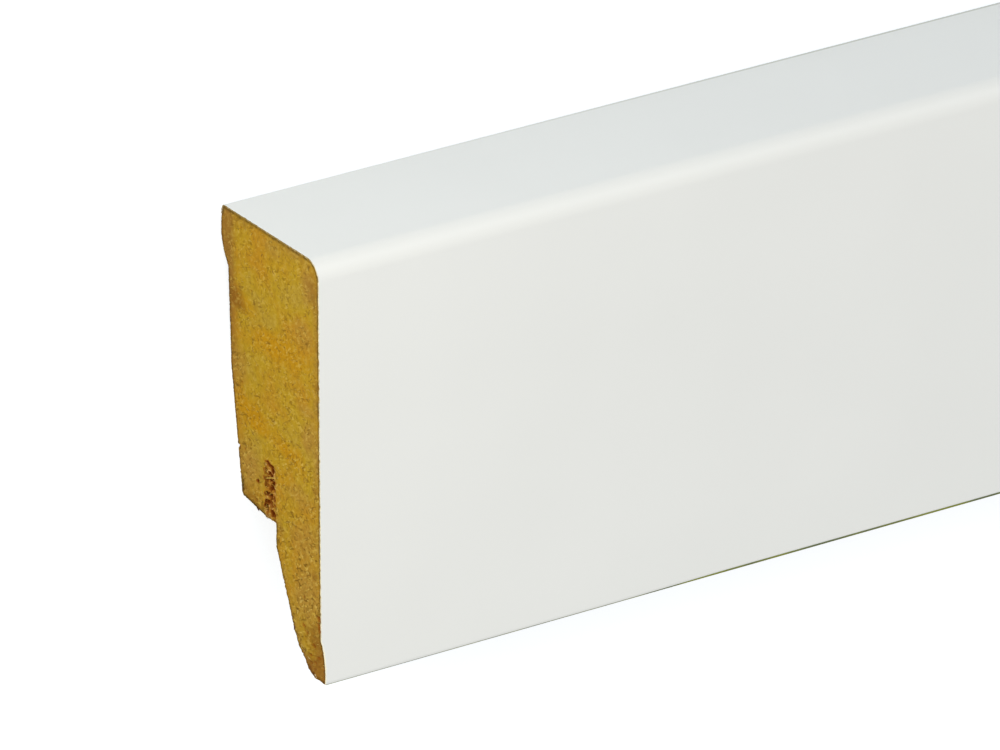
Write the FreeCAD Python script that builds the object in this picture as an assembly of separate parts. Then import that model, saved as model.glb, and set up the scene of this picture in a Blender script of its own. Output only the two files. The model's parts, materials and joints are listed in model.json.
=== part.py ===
import FreeCAD, Part
import math
import os

# A length of clip-on skirting board: a moulded fibreboard core with a white decor foil
# wrapped round its front, its top and the first bit of its back.
#
# The section is drawn as the board is fitted. Depth is measured from the show face towards
# the wall and height from the finished floor, in millimetres, and the board runs along X.
# The board is then laid down on its back, as it lies on a floor before it is fitted.

# Overall
board_length = 2400.0
board_height = 58.0

# Thicknesses of the section, one behind the other from the show face to the wall
toe_thickness = 10.5        # the board in front of the clip groove and the rebate
groove_width = 2.5          # the clip groove, its front wall in line with the toe's back
block_thickness = 5.4       # between the clip groove and the foot of the back
back_lean = 2.3             # the lower back leans out this far on its way up
upper_back_lean = 0.5       # and the upper back this much more, up to the lip
lip_proud = 1.6             # how far the lip stands out beyond the upper back

# Heights, from the finished floor upwards
heel_height = 15.4          # the toe's taper ends here, at the toe's full thickness
mouth_height = 18.7         # mouth of the clip groove, on the ledge
ledge_rise = 0.9            # the ledge rises this much from the groove to the back
groove_depth = 7.6
back_bend_height = 36.6     # where the lower back meets the upper back
lip_drop = 3.2              # from the top down to the lip's fattest place

# Toe
foot_depth = 4.2            # the taper, run on down, would meet the floor this far in
heel_radius = 3.2           # rounding from the foot up into the taper

# Roundings
front_radius = 2.6          # between show face and top, over the foil
back_corner_radius = 0.4    # between top and lip, on the fibreboard
lip_radius = 8.0            # bulge of the lip that presses on the wall
block_corner_radius = 0.5   # between the lower back and the ledge
groove_root_radius = 0.6

# Decor foil
foil_thickness = 0.2
foil_foot_gap = 0.3         # the foil is trimmed this far above the floor
foil_turn = 1.0             # how far it runs down the lip behind the top

# Depths of the walls that follow from the thicknesses
groove_back_depth = toe_thickness + groove_width
back_foot_depth = groove_back_depth + block_thickness
back_bend_depth = back_foot_depth + back_lean
back_top_depth = back_bend_depth + upper_back_lean
lip_depth = back_top_depth + lip_proud


def at(depth, height):
    """A point of the section, at the board's left end."""
    return FreeCAD.Vector(0.0, depth, height)


def around(centre, radius, angle):
    """A point on a circle of the section. Angle 0 points at the wall, a right angle up."""
    return centre + radius * at(math.cos(angle), math.sin(angle))


def line(start, end):
    return Part.LineSegment(start, end).toShape()


def arc(centre, radius, first, last):
    """Arc of the section between two angles."""
    middle = (first + last) / 2.0
    return Part.Arc(*(around(centre, radius, angle) for angle in (first, middle, last))).toShape()


def rounded_run(corners):
    """Straight edges through (point, radius) corners, each rounded by its own radius."""
    points = [point for point, radius in corners]
    edges = []
    here = points[0]
    for before, (corner, radius), after in zip(points, corners[1:], points[2:]):
        if radius:
            back = (before - corner).normalize()
            ahead = (after - corner).normalize()
            half_angle = back.getAngle(ahead) / 2.0
            setback = radius / math.tan(half_angle)
            reach = radius / math.sin(half_angle) - radius
            start = corner + back * setback
            middle = corner + (back + ahead).normalize() * reach
            end = corner + ahead * setback
            edges += [line(here, start), Part.Arc(start, middle, end).toShape()]
            here = end
        else:
            edges.append(line(here, corner))
            here = corner
    edges.append(line(here, points[-1]))
    return edges


# Places that the core, the foil and the way the board lies all share
front_centre = at(front_radius, board_height - front_radius)
lip_centre = at(lip_depth - lip_radius, board_height - lip_drop)
back_foot = at(back_foot_depth, mouth_height + ledge_rise)
back_bend = at(back_bend_depth, back_bend_height)
corner_height = board_height - foil_thickness - back_corner_radius
corner_rise = corner_height - lip_centre.z
corner_reach = math.sqrt((lip_radius - back_corner_radius) ** 2 - corner_rise ** 2)
corner_centre = at(lip_centre.y + corner_reach, corner_height)
corner_angle = math.atan2(corner_rise, corner_reach)


def covered_surface(foot, inset):
    """Show face, front rounding, top and back corner, inset from the foil's outer surface."""
    corner_radius = back_corner_radius + foil_thickness - inset
    top = board_height - inset
    return [
        line(at(inset, foot), at(inset, front_centre.z)),
        arc(front_centre, front_radius - inset, math.pi, math.pi / 2.0),
        line(at(front_centre.y, top), at(corner_centre.y, top)),
        arc(corner_centre, corner_radius, math.pi / 2.0, corner_angle),
    ]


def core_section():
    """The moulded fibreboard, clockwise: front, top, lip, back, ledge, clip groove and toe."""
    lip_foot_angle = -math.acos((back_top_depth - lip_centre.y) / lip_radius)
    groove_top = mouth_height + groove_depth
    back_and_foot = rounded_run([
        (around(lip_centre, lip_radius, lip_foot_angle), 0.0),
        (back_bend, 0.0),
        (back_foot, block_corner_radius),
        (at(groove_back_depth, mouth_height), 0.0),
        (at(groove_back_depth, groove_top), groove_root_radius),
        (at(toe_thickness, groove_top), groove_root_radius),
        (at(toe_thickness, heel_height), 0.0),
        (at(foot_depth, 0.0), heel_radius),
        (at(foil_thickness, 0.0), 0.0),
    ])
    lip = arc(lip_centre, lip_radius, corner_angle, lip_foot_angle)
    return covered_surface(0.0, foil_thickness) + [lip] + back_and_foot


def foil_section():
    """The decor foil: up the show face, over the top and a little way down the lip."""
    end_angle = corner_angle - foil_turn / lip_radius
    outer = covered_surface(foil_foot_gap, 0.0)
    outer.append(arc(lip_centre, lip_radius + foil_thickness, corner_angle, end_angle))
    inner = covered_surface(foil_foot_gap, foil_thickness)
    inner.append(arc(lip_centre, lip_radius, corner_angle, end_angle))
    turned_end = line(
        around(lip_centre, lip_radius + foil_thickness, end_angle),
        around(lip_centre, lip_radius, end_angle),
    )
    trimmed_foot = line(at(foil_thickness, foil_foot_gap), at(0.0, foil_foot_gap))
    return outer + [turned_end] + inner[::-1] + [trimmed_foot]


def full_length(section):
    """The section run out to the board's length."""
    return Part.Face(Part.Wire(section)).extrude(FreeCAD.Vector(board_length, 0.0, 0.0))


def laid_on_its_back(shapes):
    """Turns the fitted board over so that its lower back lies flat on the floor.

    The show face then looks up, a few degrees off level, with the toe to the front.
    """
    along_x = FreeCAD.Vector(1.0, 0.0, 0.0)
    lower_back = back_bend - back_foot
    turn = math.degrees(math.atan2(lower_back.y, lower_back.z)) - 90.0
    turned = [shape.rotated(FreeCAD.Vector(), along_x, turn) for shape in shapes]
    under_back = FreeCAD.Rotation(along_x, turn).multVec(back_bend)
    box = Part.Compound(turned).BoundBox
    move = FreeCAD.Vector(-box.Center.x, -box.Center.y, -under_back.z)
    return [shape.translated(move) for shape in turned]


core, foil = laid_on_its_back([full_length(core_section()), full_length(foil_section())])

os.makedirs("parts", exist_ok=True)
core.exportStep("parts/fibreboard_core.step")
foil.exportStep("parts/white_foil.step")
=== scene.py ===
"""Skirting board length: the looks of a foil-wrapped fibreboard moulding that lies on its back.

The board is one moulded length of fibreboard, sawn square at both ends, with a white decor foil
glued round its show face and its top. The sawn end nearest the camera carries the detail: the
rough fibre of the cut, a clip groove clogged with torn fibre, and a toe that broke out as the
saw left it. Sizes are in millimetres and angles in degrees, except where a name or a line of
text says otherwise.
"""

import contextlib
import json
import logging
import math
import random
from collections.abc import Callable, Iterator, Mapping, Sequence
from dataclasses import dataclass, field
from enum import Enum
from typing import Any

import bmesh
import bpy
from mathutils import Matrix, Vector, kdtree, noise


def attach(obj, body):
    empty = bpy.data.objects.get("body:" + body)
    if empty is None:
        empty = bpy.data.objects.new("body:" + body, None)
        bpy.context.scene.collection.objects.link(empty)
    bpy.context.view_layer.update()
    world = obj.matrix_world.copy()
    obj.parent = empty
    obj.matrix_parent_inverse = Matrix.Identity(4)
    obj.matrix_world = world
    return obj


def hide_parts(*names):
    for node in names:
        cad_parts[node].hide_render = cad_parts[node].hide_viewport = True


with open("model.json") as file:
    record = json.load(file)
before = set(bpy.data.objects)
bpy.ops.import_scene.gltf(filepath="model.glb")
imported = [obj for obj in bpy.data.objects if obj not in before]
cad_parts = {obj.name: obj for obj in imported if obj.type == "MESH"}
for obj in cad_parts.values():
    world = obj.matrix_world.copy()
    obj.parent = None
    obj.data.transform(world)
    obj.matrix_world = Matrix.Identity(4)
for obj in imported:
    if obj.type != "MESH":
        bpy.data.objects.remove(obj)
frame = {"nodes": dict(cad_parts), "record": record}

Socket = bpy.types.NodeSocket
Tree = bpy.types.NodeTree
Fade = tuple[Socket, float, float, float, float]
Planes = tuple[Sequence[Vector], Vector]
Span = tuple[float, float]

LOG = logging.getLogger("skirting_board")
MM = 0.001
# Places less than this far apart count as level.
SLACK = 0.01
# Two directions whose product is over this count as parallel.
PARALLEL = 0.99
ROOT_BODY = "root"
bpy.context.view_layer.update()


class BoardEnd(Enum):
    """The two sawn ends, each by the way it looks along the board."""

    SHOWN = -1
    FAR = 1


class Surface(Enum):
    """The two ways in which the fibreboard was cut, by material slot."""

    MILLED = 0
    SAWN = 1


class FoilSide(Enum):
    """The foil's web and its cut edge, by material slot."""

    WEB = 0
    CUT_EDGE = 1


@dataclass(frozen=True)
class BoardAxes:
    """The axes of the board as it is fitted to a wall, seen in the frame in which it lies.

    Distances are measured along the board from the shown end, inward from the show face
    towards the wall, and upward from the foot.
    """

    corner: Vector
    along: Vector
    inward: Vector
    upward: Vector
    length: float

    @classmethod
    def from_frame(cls, record: Mapping[str, Any], foil: bpy.types.Object) -> "BoardAxes":
        """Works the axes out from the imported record's mounts and the foil's outermost face.

        Args:
            record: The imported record, with its mounts.
            foil: The node whose outer surface is the show face.

        Returns:
            The board's axes.
        """
        mounts = {mount["name"]: mount for mount in record["mounts"]}
        shown, far, foot = (mounts[name] for name in ("left_end", "right_end", "toe_foot"))
        along = Vector(far["axis"])
        upward = -Vector(foot["axis"]).normalized()
        inward = upward.cross(along)
        show_face = min(inward.dot(vertex.co) for vertex in foil.data.vertices)
        corner = (
            along * along.dot(Vector(shown["pos_m"]))
            + upward * upward.dot(Vector(foot["pos_m"]))
            + inward * show_face
        )
        length = along.dot(Vector(far["pos_m"]) - Vector(shown["pos_m"])) / MM
        return cls(corner, along, inward, upward, length)

    def place(self, along: float, inward: float, upward: float) -> Vector:
        """Returns the point of the frame, in metres, at the given distances."""
        return self.corner + self.way(along, inward, upward) * MM

    def way(self, along: float, inward: float, upward: float) -> Vector:
        """Returns the direction in the frame that has the given parts along the board's axes."""
        return self.along * along + self.inward * inward + self.upward * upward

    def measure(self, point: Vector) -> Vector:
        """Returns how far along, inward and upward a point of the frame is."""
        return self.to_board() @ (point - self.corner) / MM

    def to_board(self) -> Matrix:
        """Returns the turn from the frame's axes to the board's."""
        return Matrix((self.along, self.inward, self.upward))

    def reach(self, mesh: bpy.types.Mesh) -> Span:
        """Returns how far inward and how far upward a mesh reaches."""
        corners = [self.measure(vertex.co) for vertex in mesh.vertices]
        return max(corner.y for corner in corners), max(corner.z for corner in corners)

    def cuts(self, along: float, inward: Sequence[float], upward: Sequence[float]) -> list[Planes]:
        """Lays out the planes that cut a face which looks along the board into cells.

        Args:
            along: Where the face is.
            inward: How far inward each upright plane is.
            upward: How far upward each level plane is.

        Returns:
            The level planes and then the upright ones, each family as its points and its normal.
        """
        rows = [self.place(along, 0.0, height) for height in upward]
        columns = [self.place(along, depth, 0.0) for depth in inward]
        return [(rows, self.upward), (columns, self.inward)]


def soft_step(low: float, high: float, value: float) -> float:
    """Returns 0 below low and 1 above high, with a smooth rise between them."""
    share = max(0.0, min(1.0, (value - low) / (high - low)))
    return share * share * (3.0 - 2.0 * share)


def two_layers(point: Vector, smoothness: float = 0.8) -> float:
    """Returns noise with a second layer over it, twice as fine and the weaker the smoother."""
    # Each noise on a sawn end is cut at a third coordinate of its own, so that no two look alike.
    return noise.fractal(point, smoothness, 2.0, 2)


def put_in_scene(name: str, data: bpy.types.ID) -> bpy.types.Object:
    """Puts a new object into the scene, at the origin.

    Args:
        name: The object's name.
        data: Its mesh, camera or light.

    Returns:
        The object.
    """
    thing = bpy.data.objects.new(name, data)
    bpy.context.scene.collection.objects.link(thing)
    return thing


def coat(piece: bpy.types.Object, finish: bpy.types.Material) -> None:
    """Gives a piece one finish all over."""
    piece.data.materials.clear()
    piece.data.materials.append(finish)


def note_points(mesh: bpy.types.Mesh, *names: str) -> dict[str, Any]:
    """Readies the numbers that a mesh holds at its points for the materials to read.

    Args:
        mesh: The mesh.
        *names: What the numbers say. All are added first, because each new one moves the rest.

    Returns:
        The numbers by name, one for each point.
    """
    for name in names:
        if name not in mesh.attributes:
            mesh.attributes.new(name, "FLOAT", "POINT")
    return {name: mesh.attributes[name].data for name in names}


def to_linear(hex_code: str) -> tuple[float, float, float, float]:
    """Turns an sRGB hex colour into the linear colour that Blender works in.

    Args:
        hex_code: Six hex digits, such as "B08C2A".

    Returns:
        Red, green, blue and an alpha of one.
    """
    channels = []
    for start in (0, 2, 4):
        value = int(hex_code[start:start + 2], 16) / 255.0
        channels.append(value / 12.92 if value <= 0.04045 else ((value + 0.055) / 1.055) ** 2.4)
    return (*channels, 1.0)


def add_node(
    tree: Tree,
    kind: str,
    inputs: Mapping[str | int, Any] | None = None,
    stops: Sequence[tuple[float, str]] = (),
    **settings: Any,
) -> bpy.types.Node:
    """Adds a node to a material or world.

    Args:
        tree: The node tree that gets the node.
        kind: The node's type name, without the "ShaderNode" that they all start with.
        inputs: A value, or another node's socket to link, for each input.
        stops: Place and hex colour of each stop, in rising order, on a colour ramp.
        **settings: Attributes of the node.

    Returns:
        The new node.
    """
    node = tree.nodes.new("ShaderNode" + kind)
    for name, value in settings.items():
        setattr(node, name, value)
    for name, value in (inputs or {}).items():
        if isinstance(value, Socket):
            tree.links.new(value, node.inputs[name])
        else:
            node.inputs[name].default_value = value
    for index, (place, colour) in enumerate(stops):
        elements = node.color_ramp.elements
        stop = elements.new(place) if 0 < index < len(stops) - 1 else elements[-1 if index else 0]
        stop.position = place
        stop.color = to_linear(colour)
    return node


def overlap(tree: Tree, *fades: Fade) -> Socket:
    """Works out how strongly a mark shows where several soft fades overlap.

    Args:
        tree: The material's node tree.
        *fades: Of each fade the value that it follows, where that starts and ends, and how
            strong the fade is there.

    Returns:
        The socket with the product of the fades.
    """
    product = None
    for value, low, high, first, last in fades:
        fade = add_node(tree, "MapRange", {
            "Value": value, "From Min": low, "From Max": high, "To Min": first, "To Max": last,
        }, interpolation_type="SMOOTHSTEP").outputs["Result"]
        if product is not None:
            fade = add_node(tree, "Math", {0: product, 1: fade}, operation="MULTIPLY").outputs[0]
        product = fade
    return product


def lay_over(tree: Tree, colour: Any, *layers: tuple[Socket, str]) -> Socket:
    """Lays tints over a colour, one after another.

    Args:
        tree: The material's node tree.
        colour: The ground, as a socket or a linear colour.
        *layers: How much of each tint shows, and its hex colour.

    Returns:
        The socket with the colour that is seen.
    """
    for share, tint in layers:
        mix = add_node(tree, "Mix", {0: share, 6: colour, 7: to_linear(tint)}, data_type="RGBA")
        colour = mix.outputs[2]
    return colour


def new_material(name: str) -> tuple[bpy.types.Material, Tree]:
    """Makes an empty node material.

    Args:
        name: The material's name.

    Returns:
        The material and its node tree, with nothing in it.
    """
    material = bpy.data.materials.new(name)
    material.use_nodes = True
    material.node_tree.nodes.clear()
    return material, material.node_tree


@dataclass(frozen=True)
class Finish:
    """A finish whose pattern is laid out in millimetres on the board."""

    name: str = ""
    relief_mm: float = 0.01
    roughness: float = 0.8
    ior: float = 1.5
    specular: float = 0.2

    def material(self, axes: BoardAxes) -> bpy.types.Material:
        """Builds the material: the pattern, then its bump and its shader.

        Args:
            axes: The board's axes, which the pattern follows.

        Returns:
            The material.
        """
        material, tree = new_material(self.name)
        turn = axes.to_board()
        place = add_node(tree, "Mapping", {
            "Vector": add_node(tree, "TexCoord").outputs["Object"],
            "Scale": (1.0 / MM,) * 3,
            "Rotation": turn.to_euler(),
            "Location": -(turn @ axes.corner) / MM,
        }).outputs["Vector"]
        colour, height = self.pattern(tree, place)
        bump = add_node(tree, "Bump", {
            "Height": height, "Strength": 1.0, "Distance": self.relief_mm * MM,
        })
        shader = add_node(tree, "BsdfPrincipled", {
            "Base Color": colour, "Normal": bump.outputs["Normal"], "Roughness": self.roughness,
            "IOR": self.ior, "Specular IOR Level": self.specular,
        })
        add_node(tree, "OutputMaterial", {"Surface": shader.outputs["BSDF"]})
        return material

    def pattern(self, tree: Tree, place: Socket) -> tuple[Socket, Socket]:
        """Adds the pattern's nodes.

        Args:
            tree: The material's node tree.
            place: How far along, inward and upward a point of the surface is.

        Returns:
            The sockets with the colour and with the height that the bump follows.
        """
        raise NotImplementedError


@dataclass(frozen=True)
class Strokes:
    """Short soft strokes of one colour that all lie one way on a cut."""

    tint: str
    length: float
    width: float
    turn: float
    share: float


@dataclass(frozen=True)
class SawnFibreboard(Finish):
    """Medium-density fibreboard cut across by a saw: matt, mottled, with short torn fibres.

    Each noise has its size, its detail and its roughness.
    """

    name: str = "sawn_medium_density_fibreboard"
    relief_mm: float = 0.03
    roughness: float = 0.9
    specular: float = 0.06
    body: tuple[tuple[float, str], ...] = (
        (0.38, "B88822"), (0.47, "B68E22"), (0.55, "B69323"), (0.64, "B2912F"),
    )
    stains: Mapping[str, str] = field(default_factory=lambda: {
        "resin": "BC8A14", "dry": "AD8434", "scorched": "8A5A1C",
        # lump is a painted highlight on the clogged groove's raised web.
        # near_black_and_shade is near-black lines and spots; the streak along the heel's rounding is painted
        # shade.
        "matted": "A46C22", "lump": "ECC07A", "near_black_and_shade": "36240C",
    })
    skin: str = "A67B34"
    dense: str = "94682E"
    pores: str = "7A5A1E"
    pale: str = "D0B254"
    rim: str = "4E3A14"
    # Colours of the painted shade in the hollows and a little way round them.
    shade_halo: str = "905416"
    pit: str = "622A00"
    # Colour of the painted shade on the toe break's sloping face.
    broken: str = "8C5A20"
    strokes: tuple[Strokes, ...] = (
        Strokes("7A5A18", 1.4, 0.42, 20.0, 0.60),
        Strokes("D2B048", 1.2, 0.44, 14.0, 0.42),
        Strokes("72521A", 1.0, 0.38, -35.0, 0.54),
        Strokes("D8B85C", 1.0, 0.40, 38.0, 0.38),
        Strokes("7A5A18", 1.0, 0.36, 76.0, 0.50),
    )
    strokes_apart: float = 7.0
    strokes_along: float = 5.0
    patches: tuple[float, float, float] = (9.0, 3.0, 0.55)
    clumps: tuple[float, float, float] = (3.0, 2.0, 0.5)
    smudges: tuple[float, float, float] = (0.9, 2.0, 0.5)
    grain: tuple[float, float, float] = (0.3, 3.0, 0.65)
    skin_mm: Span = (0.3, 2.2)
    rim_mm: Span = (0.55, 0.15)
    dense_back: Span = (18.8, 20.8)
    lively_below: float = 45.0

    def pattern(self, tree: Tree, place: Socket) -> tuple[Socket, Socket]:
        """Adds the pattern. It gives the eye a warm mottled brown with a fine lively grain.

        Args:
            tree: The material's node tree.
            place: How far along, inward and upward a point of the surface is.

        Returns:
            The sockets with the colour and with the height that the bump follows.
        """
        _, inward, upward = add_node(tree, "SeparateXYZ", {"Vector": place}).outputs
        rim, pit, broken, *stained = (
            add_node(tree, "Attribute", attribute_name=name).outputs["Fac"]
            for name in ("rim_mm", "pit", "broken", *self.stains)
        )
        patches, clumps, smudges, grain = (
            add_node(tree, "TexNoise", {
                "Vector": place, "Scale": 1.0 / size, "Detail": detail, "Roughness": fine,
            }).outputs["Fac"]
            for size, detail, fine in (self.patches, self.clumps, self.smudges, self.grain)
        )
        wood = add_node(tree, "ValToRGB", {"Fac": patches}, stops=self.body).outputs["Color"]
        colour = lay_over(
            tree, wood,
            (overlap(tree, (rim, *self.skin_mm, 0.75, 0.0), (patches, 0.38, 0.58, 0.1, 1.0)), self.skin),
            (overlap(tree, (inward, *self.dense_back, 0.0, 0.75)), self.dense),
            *zip(stained, self.stains.values()),
            (overlap(tree, (grain, 0.5, 0.3, 0.0, 0.15)), self.pores),
            (overlap(tree, (smudges, 0.48, 0.30, 0.0, 0.26)), self.pores),
            (overlap(tree, (smudges, 0.52, 0.70, 0.0, 0.26)), self.pale),
        )
        lively = ((clumps, 0.38, 0.60, 0.35, 1.1), (upward, 0.0, self.lively_below, 1.5, 0.82))
        for number, strokes in enumerate(self.strokes):
            level = self._stroke_level(tree, place, strokes, self.strokes_apart * number)
            shown = overlap(tree, (level, 0.60, 0.68, 0.0, strokes.share), *lively)
            colour = lay_over(tree, colour, (shown, strokes.tint))
        return lay_over(
            tree, colour,
            # The break is darkened with painted shade on its sloping face.
            (overlap(tree, (broken, 0.1, 0.9, 0.0, 0.75)), self.broken),
            (overlap(tree, (rim, *self.rim_mm, 0.0, 0.78), (smudges, 0.36, 0.64, 0.4, 1.0)), self.rim),
            # Painted shade: darkest down the pits, nicks and cavities, and spreading a little past their
            # edges.
            (overlap(tree, (pit, 0.02, 0.4, 0.0, 0.85)), self.shade_halo),
            (overlap(tree, (pit, 0.3, 0.85, 0.0, 1.0)), self.pit),
        ), grain

    def _stroke_level(self, tree: Tree, place: Socket, strokes: Strokes, shift: float) -> Socket:
        """Draws a noise out along the strokes of one kind, which lie where it is high.

        Args:
            tree: The material's node tree.
            place: How far along, inward and upward a point of the surface is.
            strokes: The strokes' size, lie and strength.
            shift: How far the noise is shifted across the cut.

        Returns:
            The socket with the noise.
        """
        turned = add_node(tree, "Mapping", {
            "Vector": place,
            "Rotation": (math.radians(strokes.turn), 0.0, 0.0),
            "Location": (0.0, shift, shift),
        }).outputs["Vector"]
        drawn_out = add_node(tree, "Mapping", {
            "Vector": turned,
            "Scale": (1.0 / self.strokes_along, 1.0 / strokes.length, 1.0 / strokes.width),
        }).outputs["Vector"]
        noise_node = add_node(tree, "TexNoise", {"Vector": drawn_out, "Scale": 1.0, "Detail": 1.0})
        return noise_node.outputs["Fac"]


@dataclass(frozen=True)
class MilledFibreboard(Finish):
    """Fibreboard shaped by a spindle moulder: smoother than the saw cut, with faint cutter lines."""

    name: str = "milled_medium_density_fibreboard"
    relief_mm: float = 0.02
    roughness: float = 0.82
    specular: float = 0.25
    ground: str = "AE8F57"
    clouded: str = "9A7A42"
    lined: str = "927238"
    dark_fibre: str = "7C5E2C"
    pale_fibre: str = "C8AC74"
    # Two olive tones of painted shade on the bare strip under the foil's foot edge.
    foot: tuple[str, str] = ("7E8A34", "626A4C")
    foot_height: Span = (0.5, 0.35)
    foot_depth: Span = (0.6, 0.3)
    foot_cloud_mm: float = 9.0
    line_mm: Span = (320.0, 1.2)
    fibre_mm: Span = (0.8, 0.45)
    cloud_mm: Span = (60.0, 26.0)

    def pattern(self, tree: Tree, place: Socket) -> tuple[Socket, Socket]:
        """Adds the pattern. It gives the eye a dull tan with fine fibres, and a dark olive line of painted
        shade at the foot.

        Args:
            tree: The material's node tree.
            place: How far along, inward and upward a point of the surface is.

        Returns:
            The sockets with the colour and with the height that the bump follows.
        """
        _, inward, upward = add_node(tree, "SeparateXYZ", {"Vector": place}).outputs
        lines, fibres, clouds = (
            add_node(tree, "TexNoise", {
                "Vector": add_node(tree, "Mapping", {
                    "Vector": place, "Scale": (1.0 / length, 1.0 / width, 1.0 / width),
                }).outputs["Vector"],
                "Scale": 1.0, "Detail": 2.0,
            }).outputs["Fac"]
            for length, width in (self.line_mm, self.fibre_mm, self.cloud_mm)
        )
        foot_shade_clouds = add_node(tree, "TexNoise", {"Vector": place, "Scale": 1.0 / self.foot_cloud_mm})
        # The foot line is painted shade under the foil's foot edge, kept to the show face's side.
        foot = ((upward, *self.foot_height, 0.0, 0.85), (inward, *self.foot_depth, 0.0, 1.0))
        return lay_over(
            tree, to_linear(self.ground),
            (overlap(tree, (clouds, 0.38, 0.64, 0.0, 0.3)), self.clouded),
            (overlap(tree, (lines, 0.48, 0.64, 0.0, 0.22)), self.lined),
            (overlap(tree, (fibres, 0.44, 0.30, 0.0, 0.38)), self.dark_fibre),
            (overlap(tree, (fibres, 0.56, 0.70, 0.0, 0.38)), self.pale_fibre),
            (overlap(tree, *foot), self.foot[0]),
            (overlap(tree, *foot, (foot_shade_clouds.outputs["Fac"], 0.42, 0.58, 0.0, 1.0)), self.foot[1]),
        ), fibres


@dataclass(frozen=True)
class LooseFibre(Finish):
    """Wood fibre torn loose by the saw: dull, from bark brown through tan to pale straw."""

    name: str = "torn_wood_fibre"
    tones: tuple[tuple[float, str], ...] = (
        (0.0, "4A1A0C"), (0.2, "6B4A10"), (0.45, "A9802C"), (0.7, "C8A548"), (1.0, "E8DDB4"),
    )
    mottle_mm: float = 0.2
    mottle: float = 0.08

    def pattern(self, tree: Tree, place: Socket) -> tuple[Socket, Socket]:
        """Adds the pattern. It gives the eye single pale or dark hairs on the cut.

        Args:
            tree: The material's node tree.
            place: How far along, inward and upward a point of the surface is.

        Returns:
            The sockets with the colour and with the height that the bump follows.
        """
        mottle = add_node(tree, "TexNoise", {
            "Vector": place, "Scale": 1.0 / self.mottle_mm, "Detail": 1.0,
        }).outputs["Fac"]
        shifted = add_node(tree, "Math", {
            0: add_node(tree, "Attribute", attribute_name="tone").outputs["Fac"],
            1: overlap(tree, (mottle, 0.3, 0.7, -self.mottle, self.mottle)),
        }, operation="ADD", use_clamp=True).outputs[0]
        return add_node(tree, "ValToRGB", {"Fac": shifted}, stops=self.tones).outputs["Color"], mottle


@dataclass(frozen=True)
class SatinFoil(Finish):
    """Decor foil: a pale white web, calendered to a satin surface, with painted shade along its foot hem and
    its back arris.
    """

    name: str = "satin_white_decor_foil"
    relief_mm: float = 0.002
    roughness: float = 0.42
    ior: float = 1.49
    specular: float = 0.5
    web: tuple[tuple[float, str], ...] = ((0.3, "EDEEEA"), (0.7, "EFF0EC"))
    # Grey of the painted shade along the foot hem and the back arris.
    painted_edge_shade: str = "A6A998"
    frayed: str = "FFFBEC"
    hem: Span = (0.26, 0.104)
    hem_run: Span = (8.0, 30.0)
    arris_depth: Span = (21.5, 21.8)
    arris_height: Span = (57.5, 57.6)
    arris_run: Span = (10.0, 100.0)
    torn: Span = (0.82, 0.96)
    cloud_mm: float = 24.0
    peel_mm: float = 0.7

    def pattern(self, tree: Tree, place: Socket) -> tuple[Socket, Socket]:
        """Adds the pattern. It gives the eye an even white with a broad, soft gloss, and thin grey lines of
        painted shade at the foot hem and the back arris.

        Args:
            tree: The material's node tree.
            place: How far along, inward and upward a point of the surface is.

        Returns:
            The sockets with the colour and with the height that the bump follows.
        """
        along, inward, upward = add_node(tree, "SeparateXYZ", {"Vector": place}).outputs
        torn = add_node(tree, "Attribute", attribute_name="torn").outputs["Fac"]
        clouds, peel = (
            add_node(tree, "TexNoise", {
                "Vector": place, "Scale": 1.0 / size, "Detail": detail,
            }).outputs["Fac"]
            for size, detail in ((self.cloud_mm, 2.0), (self.peel_mm, 1.0))
        )
        # The foot hem and the back arris are greyed with painted shade: where the foil curls under at the
        # foot, and where the back corner turns away from the light.
        hem = overlap(tree, (upward, *self.hem, 0.0, 1.0), (along, *self.hem_run, 0.45, 0.9))
        arris = overlap(tree, (inward, *self.arris_depth, 0.0, 1.0), (upward, *self.arris_height, 0.0, 1.0),
                        (along, *self.arris_run, 0.0, 0.55))
        return lay_over(
            tree, add_node(tree, "ValToRGB", {"Fac": clouds}, stops=self.web).outputs["Color"],
            (hem, self.painted_edge_shade),
            (arris, self.painted_edge_shade),
            (overlap(tree, (torn, *self.torn, 0.0, 1.0)), self.frayed),
        ), peel


@dataclass(frozen=True)
class CutFoilEdge(Finish):
    """The foil's edge: dusty along the top, wiped at the show face, clean where it chipped off."""

    name: str = "cut_edge_of_decor_foil"
    roughness: float = 0.7
    specular: float = 0.3
    dusty: str = "8E7434"
    clean: str = "FFF4CC"
    wiped: Span = (2.4, 0.6)
    chipped: Span = (6.6, 6.3)
    dust_mm: float = 0.625

    def pattern(self, tree: Tree, place: Socket) -> tuple[Socket, Socket]:
        """Adds the pattern. It gives the eye a dull line that turns cream down the show face.

        Args:
            tree: The material's node tree.
            place: How far along, inward and upward a point of the surface is.

        Returns:
            The sockets with the colour and with the height that the bump follows.
        """
        _, inward, upward = add_node(tree, "SeparateXYZ", {"Vector": place}).outputs
        dust = add_node(tree, "TexNoise", {
            "Vector": place, "Scale": 1.0 / self.dust_mm, "Detail": 2.0,
        }).outputs["Fac"]
        clean = (
            overlap(tree, (dust, 0.5, 0.75, 0.0, 0.3)),
            overlap(tree, (inward, *self.wiped, 0.0, 1.0), (dust, 0.35, 0.6, 0.45, 0.85)),
            overlap(tree, (upward, *self.chipped, 0.0, 1.0)),
        )
        return lay_over(tree, to_linear(self.dusty), *((share, self.clean) for share in clean)), dust


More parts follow.
